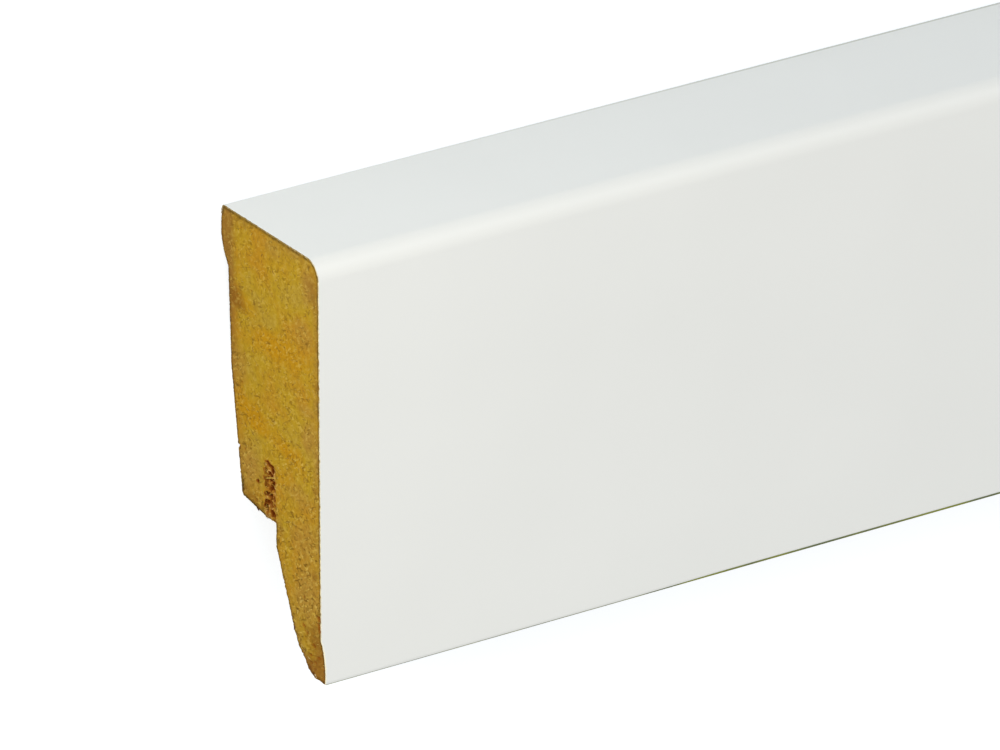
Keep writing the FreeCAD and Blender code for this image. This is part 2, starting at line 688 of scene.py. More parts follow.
class Workpiece:
    """One mesh object on the bench, alone in the selection, shaped by edit-mode operators."""

    def __init__(self, piece: bpy.types.Object) -> None:
        """Takes an object that is already in the scene."""
        self.piece = piece
        self.take_up()

    @classmethod
    def from_node(cls, name: str, node: bpy.types.Object, slots: type[Enum]) -> "Workpiece":
        """Puts a copy of a CAD node on the bench, with empty material slots.

        Args:
            name: The piece's name.
            node: The CAD node, which stays as it is.
            slots: The finishes that get a slot each.

        Returns:
            The workpiece.
        """
        piece = put_in_scene(name, node.data.copy())
        piece.data.materials.clear()
        for _ in slots:
            piece.data.materials.append(None)
        return cls(piece)

    def take_up(self) -> None:
        """Deselects everything else and makes this piece the active one."""
        bpy.ops.object.select_all(action="DESELECT")
        bpy.context.view_layer.objects.active = self.piece
        self.piece.select_set(True)

    @contextlib.contextmanager
    def editing(self) -> Iterator[None]:
        """Goes into edit mode for the length of a with block, with everything selected."""
        self.take_up()
        bpy.ops.object.mode_set(mode="EDIT")
        bpy.ops.mesh.select_all(action="SELECT")
        try:
            yield
        finally:
            bpy.ops.object.mode_set(mode="OBJECT")

    def weld(self, apart: float, flat: float = 0.2) -> None:
        """Merges doubled points and clears the triangles out of flat faces.

        Args:
            apart: How near two points lie to be one.
            flat: The angle up to which two faces are one.
        """
        self.take_up()
        bpy.ops.mesh.customdata_custom_splitnormals_clear()
        with self.editing():
            bpy.ops.mesh.remove_doubles(threshold=apart * MM)
            bpy.ops.mesh.dissolve_limited(angle_limit=math.radians(flat))

    def pick_faces(self, wanted: Callable[[bmesh.types.BMFace], bool]) -> None:
        """Selects faces in edit mode, and nothing else.

        Args:
            wanted: Says of a face whether it is selected.
        """
        bpy.ops.mesh.select_all(action="DESELECT")
        sheet = bmesh.from_edit_mesh(self.piece.data)
        for face in [face for face in sheet.faces if wanted(face)]:
            face.select_set(True)
        bmesh.update_edit_mesh(self.piece.data)

    def slice(self, points: Sequence[Vector], normal: Vector) -> None:
        """Cuts all that shows in edit mode along parallel planes.

        Args:
            points: A point on each plane.
            normal: The planes' normal.
        """
        for point in points:
            bpy.ops.mesh.select_all(action="SELECT")
            bpy.ops.mesh.bisect(plane_co=point, plane_no=normal, threshold=1e-7)

    def cross_cut(self, wanted: Callable[[bmesh.types.BMFace], bool], cuts: Sequence[Planes]) -> None:
        """Cuts chosen faces into cells, and leaves the rest whole.

        Args:
            wanted: Says of a face whether it is cut.
            cuts: Families of parallel planes, each as its points and its normal.
        """
        self.pick_faces(wanted)
        bpy.ops.mesh.hide(unselected=True)
        for points, normal in cuts:
            self.slice(points, normal)
        bpy.ops.mesh.reveal(select=False)

    def shade(self, crease: float) -> None:
        """Smooths the shading up to a crease, with each flat face kept flat.

        Args:
            crease: The angle between faces from which an edge shows.
        """
        self.take_up()
        bpy.ops.object.shade_smooth_by_angle(angle=math.radians(crease))
        even = self.piece.modifiers.new("even_shading", "WEIGHTED_NORMAL")
        even.keep_sharp = True
        bpy.ops.object.modifier_apply(modifier=even.name)


@dataclass(frozen=True)
class Hollow:
    """A small ragged hollow in a sawn end: its middle, its half sizes and the darkness of its painted shade.

    Its slope and its shadow start and end at so many times the half sizes.
    """

    inward: float
    upward: float
    wide: float
    tall: float
    dark: float = 1.0
    ragged: float = 0.8
    slope: Span = (0.6, 1.1)
    shadow: Span = (0.5, 1.6)

    def reach(self, inward: float, upward: float) -> float:
        """Returns how far out a point lies, where 1 is the hollow's edge."""
        frayed = self.ragged * noise.noise(Vector((inward, upward, 6.0)) * 2.4)
        return math.hypot((inward - self.inward) / self.wide, (upward - self.upward) / self.tall) + frayed

    def share(self, inward: float, upward: float) -> float:
        """Returns how far a point lies down the hollow, from 0 outside it to 1 at its bottom."""
        return 1.0 - soft_step(*self.slope, self.reach(inward, upward))

    def shade(self, inward: float, upward: float) -> float:
        """Returns how much painted shade a point gets, also a little way past the hollow's edge."""
        return self.dark * (1.0 - soft_step(*self.shadow, self.reach(inward, upward)))


@dataclass(frozen=True)
class Stain:
    """A broad soft patch of another tone in a sawn end, with its half sizes."""

    inward: float
    upward: float
    wide: float
    tall: float
    turn: float = 0.0
    strength: float = 1.0
    fade: Span = (0.3, 1.35)

    def share(self, inward: float, upward: float, sway: Vector) -> float:
        """Works out how strongly a point shows the stain, which fades towards a wavering edge.

        Args:
            inward: Distance from the show face.
            upward: Height over the foot.
            sway: How the edge wavers there; a thin stain wavers less than a broad one.

        Returns:
            The stain's share in the colour.
        """
        turn = math.radians(self.turn)
        loose = min(1.0, 0.5 * self.wide, 0.5 * self.tall)
        aside = inward + loose * sway.x - self.inward
        above = upward + loose * sway.y - self.upward
        along = (aside * math.cos(turn) + above * math.sin(turn)) / self.wide
        across = (above * math.cos(turn) - aside * math.sin(turn)) / self.tall
        return self.strength * (1.0 - soft_step(*self.fade, math.hypot(along, across)))


@dataclass(frozen=True)
class ClipGroove:
    """The groove that a wall clip springs into, and the cavities in the fibre that clogs it.

    A cavity's row is its middle inward and upward, its half sizes, and the darkness of its painted shade
    where that is under 1.
    """

    mouth: Vector
    width: float = 2.5
    depth: float = 7.6
    shift: float = 0.15
    wall: float = 0.45
    waver: float = 0.4
    matted_edge: Span = (-0.35, 0.6)
    cavities: tuple[Hollow, ...] = tuple(Hollow(*row) for row in (
        (12.05, 26.15, 0.52, 0.34), (11.16, 25.56, 0.32, 0.66), (11.66, 24.90, 0.50, 0.34),
        (12.85, 24.90, 0.40, 0.50, 0.35), (12.62, 23.78, 0.60, 0.34, 0.7), (11.72, 24.08, 0.70, 0.32),
        (11.00, 24.02, 0.44, 0.44), (12.60, 23.15, 0.50, 0.36, 0.45), (11.25, 23.30, 0.32, 0.60),
        (11.66, 22.74, 0.42, 0.28, 0.8), (10.80, 22.95, 0.26, 0.41, 0.55), (12.62, 21.80, 0.43, 0.26, 0.75),
        (11.72, 22.02, 0.55, 0.26), (11.60, 21.62, 0.66, 0.19, 0.7), (10.72, 21.82, 0.26, 0.38, 0.8),
        (12.56, 20.78, 0.46, 0.29, 0.8), (11.52, 20.82, 0.32, 0.53, 0.7), (12.62, 20.10, 0.42, 0.32),
        (10.70, 20.70, 0.24, 0.36, 0.6), (12.54, 19.38, 0.24, 0.43, 0.35), (11.31, 19.62, 0.38, 0.50, 0.9),
        (10.68, 19.30, 0.24, 0.46, 0.75),
    ))

    def holds(self, place: Vector, below: float = 0.1, margin: float = 0.1) -> bool:
        """Says whether a measured place lies in the groove or on its walls, above its mouth."""
        beside = abs(place.y - self.mouth.y) < 0.5 * self.width + margin
        return beside and self.mouth.z + below < place.z < self.mouth.z + self.depth + margin

    def edge_share(self, inward: float) -> float:
        """Returns 1 at the groove's walls and 0 from a little way in from them."""
        return soft_step(0.5 * self.width - self.wall, 0.5 * self.width, abs(inward - self.mouth.y))

    def cavity(self, inward: float, upward: float) -> Span:
        """Looks for the cavities at a point.

        Args:
            inward: Distance from the show face.
            upward: Height over the foot.

        Returns:
            How far the point lies down a cavity, and how much painted shade it gets there.
        """
        spot = (inward - self.shift, upward)
        deep = max(hollow.share(*spot) for hollow in self.cavities)
        return deep, max(hollow.shade(*spot) for hollow in self.cavities)

    def matted(self, place: Vector) -> float:
        """Works out how much matted fibre shows: all in the groove, and some beside it.

        Args:
            place: The measured place.

        Returns:
            The share of matted fibre.
        """
        beside = abs(place.y - self.mouth.y) - 0.5 * self.width
        above = max(self.mouth.z - place.z, place.z - self.mouth.z - self.depth)
        waver = self.waver * noise.noise(Vector((place.y, place.z, 5.0)) * 1.6)
        return 1.0 - soft_step(*self.matted_edge, max(beside, above) + waver)


@dataclass(frozen=True)
class ToeBreak:
    """The front corner of the toe, which broke out as the saw left the board."""

    top: float = 6.3
    full: float = 1.8
    front: float = 0.3
    back: float = 3.4
    back_share: float = 0.95
    back_fall: float = 2.6
    set_back: float = 0.68

    def depth(self, inward: float, upward: float) -> float:
        """Works out how far the end stands back at a point of the toe.

        Args:
            inward: Distance from the show face.
            upward: Height over the foot.

        Returns:
            The depth of the break.
        """
        spared = max(0.0, min(1.0, (upward - self.full) / (self.top - self.full)))
        at_front = 1.0 - spared * spared
        at_back = self.back_share * (1.0 - spared) ** self.back_fall
        across = soft_step(self.front, self.back, inward)
        return self.set_back * ((1.0 - across) * at_front + across * at_back)


@dataclass(frozen=True)
class CutRelief:
    """The relief of a saw cut across fibreboard, below the end's plane."""

    wave: float = 0.015
    wave_mm: float = 5.0
    tuft: float = 0.045
    tuft_mm: Span = (0.9, 0.3)
    lay: float = -15.0
    lay_sway: float = 1.2
    pit: float = 0.25
    pit_mm: float = 3.3
    pit_share: float = 0.08
    pit_squash: float = 1.2
    pit_shade: float = 0.3
    rougher_toe: float = 1.4
    rougher_below: float = 29.0
    nicks: tuple[Hollow, ...] = ()

    def pit_at(self, inward: float, upward: float) -> float:
        """Looks for a pit or a nick at a point.

        Args:
            inward: Distance from the show face.
            upward: Height over the foot.

        Returns:
            How far the point lies down it, from 0 outside it to 1 at its bottom.
        """
        nearest, centres = noise.voronoi(Vector((inward, upward * self.pit_squash, 0.0)) / self.pit_mm)
        size = self.pit_share * (0.4 + abs(noise.cell(centres[0] * 7.0)))
        strewn = 1.0 - soft_step(0.4 * size, size, nearest[0])
        return max([strewn, *(nick.share(inward, upward) for nick in self.nicks)])

    def darkness(self, inward: float, upward: float) -> float:
        """Returns how much painted shade a point gets in the nicks and the pits, of which the strewn ones
        get little.
        """
        nicked = max([0.0, *(nick.shade(inward, upward) for nick in self.nicks)])
        return max(nicked, self.pit_shade * self.pit_at(inward, upward))

    def depth(self, inward: float, upward: float) -> float:
        """Works out how far below the end's plane the cut lies.

        Args:
            inward: Distance from the show face.
            upward: Height over the foot.

        Returns:
            The depth, never under zero.
        """
        spot = Vector((inward, upward, 3.0)) / self.wave_mm
        lay = math.radians(self.lay) + self.lay_sway * noise.noise(spot + Vector((9.0, 0.0, 0.0)))
        along = inward * math.cos(lay) + upward * math.sin(lay)
        across = upward * math.cos(lay) - inward * math.sin(lay)
        tufts = two_layers(Vector((along / self.tuft_mm[0], across / self.tuft_mm[1], 0.5)))
        rough = 1.0 + self.rougher_toe * (1.0 - soft_step(0.0, self.rougher_below, upward))
        depth = self.wave * (1.0 + noise.noise(spot)) + rough * self.tuft * (0.5 + tufts)
        return max(0.0, depth) + self.pit * self.pit_at(inward, upward)


@dataclass
class SawnEnd:
    """One sawn end of the board, cut into small cells so that it can carry the saw's relief."""

    axes: BoardAxes
    end: BoardEnd
    cell: float
    band: float = 1.5
    sway_mm: float = 2.5
    matting: float = 0.55
    margin: float = 0.3
    relief: CutRelief = field(default_factory=CutRelief)
    toe_break: ToeBreak | None = None
    clogged: ClipGroove | None = None
    stains: Mapping[str, Sequence[Stain]] = field(default_factory=dict)

    @property
    def plane(self) -> float:
        """The end's place along the board."""
        return 0.0 if self.end is BoardEnd.SHOWN else self.axes.length

    def faces_out(self, normal: Vector) -> bool:
        """Says whether a normal looks straight out of this end."""
        return self.end.value * normal.dot(self.axes.along) > PARALLEL

    def sink(self, inward: float, upward: float) -> float:
        """Returns how far the cut lies below the end's plane at a point."""
        broken = self.toe_break.depth(inward, upward) if self.toe_break else 0.0
        return self.relief.depth(inward, upward) + broken

    def divide(self, work: Workpiece, depth: float, height: float) -> None:
        """Cuts the end's face into cells, and a short band of the board off behind it.

        Args:
            work: The fibreboard on the bench.
            depth: How far the section reaches inward.
            height: How high the section is.
        """
        for face in work.piece.data.polygons:
            if self.faces_out(face.normal):
                face.material_index = Surface.SAWN.value
        ring = self.axes.place(self.plane - self.end.value * self.band, 0.0, 0.0)
        steps = [(index + 0.5) * self.cell for index in range(int(height / self.cell) + 1)]
        cuts = self.axes.cuts(self.plane, [step for step in steps if step < depth], steps)
        with work.editing():
            work.slice([ring], self.axes.along)
            work.cross_cut(lambda face: self.faces_out(face.normal), cuts)
        if self.clogged:
            self._show_walls(work.piece.data)

    def _show_walls(self, mesh: bpy.types.Mesh) -> None:
        """Gives the groove's walls, where they show between the cavities, the finish of the cut.

        Args:
            mesh: The fibreboard's mesh, with the band behind the end's face cut off.
        """
        places = [self.axes.measure(point.co) for point in mesh.vertices]
        shows = [
            abs(place.x - self.plane) <= self.band + SLACK and self.clogged.holds(place, below=-0.05)
            for place in places
        ]
        for face in mesh.polygons:
            if all(shows[index] for index in face.vertices):
                face.material_index = Surface.SAWN.value

    def roughen(self, piece: bpy.types.Object) -> list[Vector]:
        """Sinks the face's points by the relief, and notes rim, stains, and the painted shade of pits and
        break on the mesh.

        Args:
            piece: The fibreboard, after its ends are divided.

        Returns:
            The measured places of the points well inside the outline, where fibres may lie.
        """
        mesh = piece.data
        inside, outline = self._face_points(mesh)
        notes = note_points(mesh, "rim_mm", "pit", "broken", "matted", *self.stains)
        near = kdtree.KDTree(len(outline))
        for index in sorted(outline):
            spot = mesh.vertices[index].co
            if not (self.clogged and self.clogged.holds(self.axes.measure(spot))):
                near.insert(spot, index)
        near.balance()
        gaps = {index: near.find(mesh.vertices[index].co)[2] / MM for index in sorted(inside | outline)}
        places = []
        for index, gap in gaps.items():
            point = mesh.vertices[index]
            place = self.axes.measure(point.co)
            spot = (place.y, place.z)
            notes["rim_mm"][index].value = gap
            # The pit note carries painted shade: in the nicks, the strewn pits and the groove's cavities.
            notes["pit"][index].value = self.relief.darkness(*spot)
            if self.toe_break:
                notes["broken"][index].value = self.toe_break.depth(*spot) / self.toe_break.set_back
            if self.clogged:
                notes["matted"][index].value = self.matting * self.clogged.matted(place)
                _, dark = self.clogged.cavity(*spot)
                notes["pit"][index].value = max(notes["pit"][index].value, dark)
            sway = noise.noise_vector(Vector((*spot, 8.0)) / self.sway_mm)
            for name, stains in self.stains.items():
                notes[name][index].value = max(stain.share(*spot, sway) for stain in stains)
            point.co -= self.axes.along * (self.end.value * self.sink(*spot) * MM)
            if gap > self.margin:
                places.append(place)
        return places

    def _face_points(self, mesh: bpy.types.Mesh) -> tuple[set[int], set[int]]:
        """Finds the points of the end's face.

        Args:
            mesh: The fibreboard's mesh.

        Returns:
            The points inside the face, and those on its outline.
        """
        face_points: set[int] = set()
        side_points: set[int] = set()
        for face in mesh.polygons:
            group = face_points if self.faces_out(face.normal) else side_points
            group.update(face.vertices)
        return face_points - side_points, face_points & side_points


@dataclass
class FibreboardCore:
    """The moulded fibreboard: its body is the CAD node's, and its sawn ends are cut anew."""

    axes: BoardAxes
    node: bpy.types.Object
    ends: Sequence[SawnEnd]
    finish: bpy.types.Material | None = None
    places: dict[BoardEnd, list[Vector]] = field(default_factory=dict)

    def build(self) -> bpy.types.Object:
        """Copies the node, divides its two ends and roughens them.

        Returns:
            The finished piece, without its materials.
        """
        work = Workpiece.from_node("fibreboard_body", self.node, Surface)
        work.weld(apart=0.001)
        depth, height = self.axes.reach(work.piece.data)
        for end in self.ends:
            end.divide(work, depth, height)
        for end in self.ends:
            self.places[end.end] = end.roughen(work.piece)
        work.shade(crease=40.0)
        return work.piece

    def dress(self, piece: bpy.types.Object) -> None:
        """Gives the milled faces one finish and the sawn ones the other.

        Args:
            piece: The finished piece.
        """
        self.finish = SawnFibreboard().material(self.axes)
        piece.data.materials[Surface.MILLED.value] = MilledFibreboard().material(self.axes)
        piece.data.materials[Surface.SAWN.value] = self.finish


@dataclass(frozen=True)
class Fibre:
    """One torn fibre: its place and lie on a sawn end."""

    inward: float
    upward: float
    turn: float
    length: float
    thickness: float
    bow: float
    tone: float
    lift: float = 0.3
    sink: float | None = None


@dataclass(frozen=True)
class FibreKind:
    """What torn fibres of one kind are like: each value fixed, or the span that it is drawn from."""

    length: Span
    thickness: Span
    bow: Span
    tone: float | Span
    lift: float | Span = 0.3
    sink: Span | None = None

    def fibre(self, draw: random.Random, inward: float, upward: float, turn: float) -> Fibre:
        """Draws one fibre.

        Args:
            draw: The source of chance.
            inward: How far the fibre's middle is from the show face.
            upward: How high it is over the foot.
            turn: The way in which the fibre lies.

        Returns:
            The fibre.
        """
        kinds = (self.length, self.thickness, self.bow, self.tone, self.lift, self.sink)
        values = [draw.uniform(*kind) if isinstance(kind, tuple) else kind for kind in kinds]
        return Fibre(inward, upward, turn, *values)


@dataclass
class TornFibres:
    """Fibres that the saw tore loose at one end, and that lie on the cut or hang across it."""

    axes: BoardAxes
    name: str
    end: SawnEnd
    fibres: Sequence[Fibre]
    finish: bpy.types.Material
    sides: int = 5
    rings: tuple[float, ...] = (-0.3, -0.1, 0.1, 0.3)
    tip: float = 0.35
    clear: float = 0.005

    def build(self) -> bpy.types.Object:
        """Models one fibre, copies it for each place and joins the copies.

        Returns:
            The finished piece, without its material.
        """
        blank = self._blank()
        pieces = []
        for index, fibre in enumerate(self.fibres):
            mesh = blank.data.copy()
            self._lay(mesh, fibre)
            pieces.append(put_in_scene(f"{self.name}_{index}", mesh))
        bpy.data.objects.remove(blank)
        work = Workpiece(pieces[0])
        for piece in pieces:
            piece.select_set(True)
        bpy.ops.object.join()
        work.piece.name = self.name
        with work.editing():
            bpy.ops.mesh.normals_make_consistent(inside=False)
        bpy.ops.object.shade_smooth()
        return work.piece

    def dress(self, piece: bpy.types.Object) -> None:
        """Gives the fibres their finish."""
        coat(piece, self.finish)

    def _blank(self) -> bpy.types.Object:
        """Models a straight fibre of unit length and thickness, pinched at both tips.

        Returns:
            The fibre, along the Z axis at the origin.
        """
        bpy.ops.object.select_all(action="DESELECT")
        bpy.ops.mesh.primitive_cylinder_add(vertices=self.sides, radius=0.5, depth=1.0)
        work = Workpiece(bpy.context.active_object)
        with work.editing():
            work.slice([Vector((0.0, 0.0, ring)) for ring in self.rings], Vector((0.0, 0.0, 1.0)))
            for end in (-1.0, 1.0):
                work.pick_faces(lambda face: end * face.normal.z > PARALLEL)
                bpy.ops.transform.resize(
                    value=(self.tip, self.tip, 1.0), center_override=(0.0, 0.0, 0.5 * end))
        return work.piece

    def _lay(self, mesh: bpy.types.Mesh, fibre: Fibre) -> None:
        """Bends a straight fibre and lays it on the cut.

        Args:
            mesh: The straight fibre's mesh.
            fibre: Where and how it lies.
        """
        tones = note_points(mesh, "tone")["tone"]
        turn = math.radians(fibre.turn)
        for index, point in enumerate(mesh.vertices):
            run = point.co.z * fibre.length
            side = point.co.x * fibre.thickness + fibre.bow * (0.25 - point.co.z ** 2) * 4.0
            inward = fibre.inward + run * math.cos(turn) - side * math.sin(turn)
            upward = fibre.upward + run * math.sin(turn) + side * math.cos(turn)
            sink = self.end.sink(inward, upward) if fibre.sink is None else fibre.sink
            out = fibre.thickness * (fibre.lift + point.co.y)
            depth = max(self.clear + (0.5 - point.co.y) * 0.5 * fibre.thickness, sink - out)
            point.co = self.axes.place(self.end.plane - self.end.end.value * depth, inward, upward)
            tones[index].value = fibre.tone


@dataclass(frozen=True)
class Tuft:
    """A few fibres that stand out together at one spot of a sawn end's outline."""

    inward: float
    upward: float
    turn: float
    tone: float
    count: int = 5
    stout: float = 1.0
    spread: Span = (0.08, 0.1)
    fan: float = 22.0

    def fibres(self, draw: random.Random) -> list[Fibre]:
        """Draws the tuft's fibres, fanned out about its middle.

        Args:
            draw: The source of chance.

        Returns:
            The fibres.
        """
        kind = FibreKind(
            length=(0.35, 0.65), thickness=(0.09 * self.stout, 0.15 * self.stout),
            bow=(-0.06, 0.06), tone=self.tone, lift=(-0.8, 0.2),
        )
        return [
            kind.fibre(
                draw,
                self.inward + draw.gauss(0.0, self.spread[0]),
                self.upward + draw.gauss(0.0, self.spread[1]),
                self.turn + draw.gauss(0.0, self.fan),
            )
            for _ in range(self.count)
        ]


@dataclass(frozen=True)
class StrewnFibres:
    """Fibres that lie all over a sawn end, most of them more or less one way."""

    count: int
    dark: FibreKind = FibreKind((0.25, 0.8), (0.05, 0.11), (-0.12, 0.12), tone=(0.25, 0.38))
    pale: FibreKind = FibreKind((0.25, 0.8), (0.05, 0.11), (-0.12, 0.12), tone=(0.48, 0.66))
    dark_share: float = 0.35
    aligned_share: float = 0.7
    lay: Span = (-15.0, 30.0)
    any_way: Span = (-90.0, 90.0)

    def fibres(self, places: Sequence[Vector], draw: random.Random) -> list[Fibre]:
        """Draws the fibres.

        Args:
            places: Where fibres may lie.
            draw: The source of chance.

        Returns:
            The fibres.
        """
        fibres = []
        for place in draw.sample(places, self.count):
            kind = self.dark if draw.random() < self.dark_share else self.pale
            aligned = draw.random() < self.aligned_share
            turn = draw.gauss(*self.lay) if aligned else draw.uniform(*self.any_way)
            fibres.append(kind.fibre(draw, place.y, place.z, turn))
        return fibres


@dataclass
class CloggedGroove:
    """The matted fibre that clogs the mouth of the clip groove at the shown end."""

    axes: BoardAxes
    groove: ClipGroove
    cut: SawnEnd
    finish: bpy.types.Material
    length: float = 1.6
    start: float = 0.01
    corner: float = 0.55
    corner_steps: int = 4
    gap: float = -0.03
    bulge: float = 0.15
    cell: float = 0.09
    cavity: float = 0.35
    lump: float = 0.14
    lump_highlight: float = 0.7
    matting: float = 0.75
    loose_count: int = 7
    loose: FibreKind = FibreKind((0.5, 1.3), (0.07, 0.14), (-0.2, 0.2), (0.3, 0.66), 0.0, (0.08, 0.35))
    wall_count: int = 22
    at_wall: FibreKind = FibreKind((0.5, 1.3), (0.07, 0.14), (-0.2, 0.2), (0.3, 0.55), 0.0, (0.05, 0.14))
    strand_lay: Span = (-20.0, 40.0)

    def build(self) -> bpy.types.Object:
        """Models the plug as a block, rounds it at the groove's root and opens its front.

        Returns:
            The finished piece, without its material.
        """
        bpy.ops.object.select_all(action="DESELECT")
        bpy.ops.mesh.primitive_cube_add(size=1.0)
        work = Workpiece(bpy.context.active_object)
        work.piece.name = "clogged_groove_fibre"
        mouth = self.groove.mouth
        wide = self.groove.width - 2.0 * self.gap
        tall = self.groove.depth + self.bulge - self.gap
        middle = mouth.z - self.bulge + 0.5 * tall
        for point in work.piece.data.vertices:
            point.co = self.axes.place(
                self.start + (0.5 + point.co.x) * self.length,
                mouth.y + point.co.y * wide,
                middle + point.co.z * tall,
            )
        root = middle + 0.5 * tall
        steps = [self.cell * (index + 0.5) for index in range(int(tall / self.cell))]
        columns = [mouth.y - 0.5 * wide + step for step in steps[:int(wide / self.cell)]]
        with work.editing():
            bpy.ops.mesh.normals_make_consistent(inside=False)
            self._round_root(work, root)
            work.cross_cut(lambda face: face.normal.dot(self.axes.along) < -PARALLEL,
                           self.axes.cuts(0.0, columns, [root - step for step in steps]))
        self._open_cavities(work.piece)
        work.shade(crease=60.0)
        return work.piece

    def dress(self, piece: bpy.types.Object) -> None:
        """Gives the plug the finish of the cut round it."""
        coat(piece, self.finish)

    def strands(self, draw: random.Random) -> list[Fibre]:
        """Draws the strands in front of the plug and those that hide its seam with the board.

        Args:
            draw: The source of chance.

        Returns:
            The strands, with the one straight bridge between the walls first.
        """
        mouth, width, depth = self.groove.mouth, self.groove.width, self.groove.depth
        strands = [Fibre(inward=mouth.y, upward=mouth.z + 5.6, turn=-21.0, length=2.6, thickness=0.22,
                         bow=0.05, tone=0.62, lift=0.0, sink=0.1)]
        for kind, count in ((self.loose, self.loose_count), (self.at_wall, self.wall_count)):
            for _ in range(count):
                side = draw.choice((-0.5, 0.5)) if kind is self.at_wall else draw.uniform(-0.35, 0.35)
                upward = mouth.z + draw.uniform(0.0, 1.0) * depth
                turn = draw.gauss(*self.strand_lay)
                strands.append(kind.fibre(draw, mouth.y + side * width, upward, turn))
        return strands

    def _round_root(self, work: Workpiece, root: float) -> None:
        """Rounds the plug's two edges that lie along the groove's root.

        Args:
            work: The plug on the bench, in edit mode.
            root: The height of the groove's root.
        """
        bpy.ops.mesh.select_all(action="DESELECT")
        sheet = bmesh.from_edit_mesh(work.piece.data)
        for edge in sheet.edges:
            low = min(self.axes.measure(vertex.co).z for vertex in edge.verts)
            run = (edge.verts[1].co - edge.verts[0].co).normalized()
            if low > root - SLACK and abs(run.dot(self.axes.along)) > PARALLEL:
                edge.select_set(True)
        bmesh.update_edit_mesh(work.piece.data)
        bpy.ops.mesh.bevel(offset=self.corner * MM, segments=self.corner_steps)

    def _open_cavities(self, piece: bpy.types.Object) -> None:
        """Sinks the hollows into the plug's front and leaves a lumpy web between them.

        Args:
            piece: The plug, with its front cut into cells.
        """
        notes = note_points(piece.data, "pit", "rim_mm", "matted", "lump")
        for index, point in enumerate(piece.data.vertices):
            place = self.axes.measure(point.co)
            along, inward, upward = place
            notes["rim_mm"][index].value = max(0.0, upward - self.groove.mouth.z + self.bulge)
            notes["matted"][index].value = self.matting * self.groove.matted(place)
            # Behind its front the plug takes the darkest pit colour: painted shade inside the groove.
            if along > self.start + SLACK:
                notes["pit"][index].value = 1.0
                continue
            # Down the cavities the pit note is painted shade.
            hollow, notes["pit"][index].value = self.groove.cavity(inward, upward)
            lumps = max(0.0, 0.5 + two_layers(Vector((inward, upward, 2.0)) * 2.6))
            inner = 1.0 - self.groove.edge_share(inward)
            # Pale where the web stands highest: a painted highlight on the raised lumps.
            notes["lump"][index].value = self.lump_highlight * (1.0 - soft_step(0.1, 0.4, lumps))
            depth = self.cut.sink(inward, upward) + self.cavity * hollow + self.lump * inner * lumps
            point.co += self.axes.along * (depth * MM)


@dataclass
class DecorFoil:
    """The white foil: its body is the CAD node's, with a chipped cut edge and a wavering foot edge."""

    axes: BoardAxes
    node: bpy.types.Object
    toe_break: ToeBreak
    band: float = 1.2
    step: float = 0.25
    chip: float = 0.12
    chip_mm: float = 0.7
    break_share: float = 0.93
    foot_edge: float = 0.28
    foot_low: float = 0.06
    foot_fade: float = 0.2
    foot_reach: float = 1.0
    foot_tuck: float = 0.14
    tuck_reach: float = 0.1
    foot_span: Span = (44.0, 62.0)
    foot_waver: float = 6.0
    foot_waver_mm: float = 9.0
    foot_step: float = 4.0
    foot_steps: int = 36
    hems: Span = (0.12, 0.3)

    def build(self) -> bpy.types.Object:
        """Copies the node, wears its cut edge at the shown end and draws its foot edge down.

        Returns:
            The finished piece, without its material.
        """
        work = Workpiece.from_node("white_decor_foil", self.node, FoilSide)
        work.weld(apart=0.0005)
        for face in work.piece.data.polygons:
            if abs(face.normal.dot(self.axes.along)) > PARALLEL:
                face.material_index = FoilSide.CUT_EDGE.value
        depth, height = self.axes.reach(work.piece.data)
        steps = [(index + 0.5) * self.step for index in range(int(height / self.step) + 1)]
        cuts = self.axes.cuts(0.0, [step for step in steps if step < depth], steps)
        runs = [self.band + self.foot_step * index for index in range(self.foot_steps)]
        loops = [self.axes.place(run, 0.0, 0.0) for run in runs]
        hems = [self.axes.place(0.0, 0.0, self.foot_edge + rise) for rise in self.hems]
        with work.editing():
            work.slice(loops, self.axes.along)
            work.cross_cut(lambda face: self.axes.measure(face.calc_center_median()).x < self.band, cuts)
            work.slice(hems, self.axes.upward)
        torn = note_points(work.piece.data, "torn")["torn"]
        for index, point in enumerate(work.piece.data.vertices):
            torn[index].value = self._wear(point)
        work.shade(crease=30.0)
        return work.piece

    def dress(self, piece: bpy.types.Object) -> None:
        """Gives the web its satin finish and the cut edge its dusty one."""
        piece.data.materials[FoilSide.WEB.value] = SatinFoil().material(self.axes)
        piece.data.materials[FoilSide.CUT_EDGE.value] = CutFoilEdge().material(self.axes)

    def _wear(self, point: bpy.types.MeshVertex) -> float:
        """Moves one point of the foil to where the saw, the break or the glue left it.

        Args:
            point: The point, which is moved.

        Returns:
            One where the foil tore off with the toe, and zero elsewhere.
        """
        along, inward, upward = self.axes.measure(point.co)
        shift = Vector((0.0, 0.0, 0.0))
        broken = 0.0
        if along < 0.5 * self.band:
            broken = self.toe_break.depth(inward, upward)
            chip = max(0.0, two_layers(Vector((inward, upward, 7.0)) / self.chip_mm, smoothness=1.0))
            shift.x = self.chip * chip + self.break_share * broken
        share = 1.0 - soft_step(self.foot_edge, self.foot_edge + self.foot_fade, upward)
        if share > 0.0 and inward < self.foot_reach:
            waver = self.foot_waver * noise.noise(Vector((along / self.foot_waver_mm, 0.0, 0.0)))
            drop = (1.0 - soft_step(*self.foot_span, along + waver)) * share
            shift.z = -(self.foot_edge - self.foot_low) * drop
            if inward < self.tuck_reach:
                shift.y = self.foot_tuck * share
        point.co += self.axes.way(*shift) * MM
        return 1.0 if broken > 0.0 else 0.0


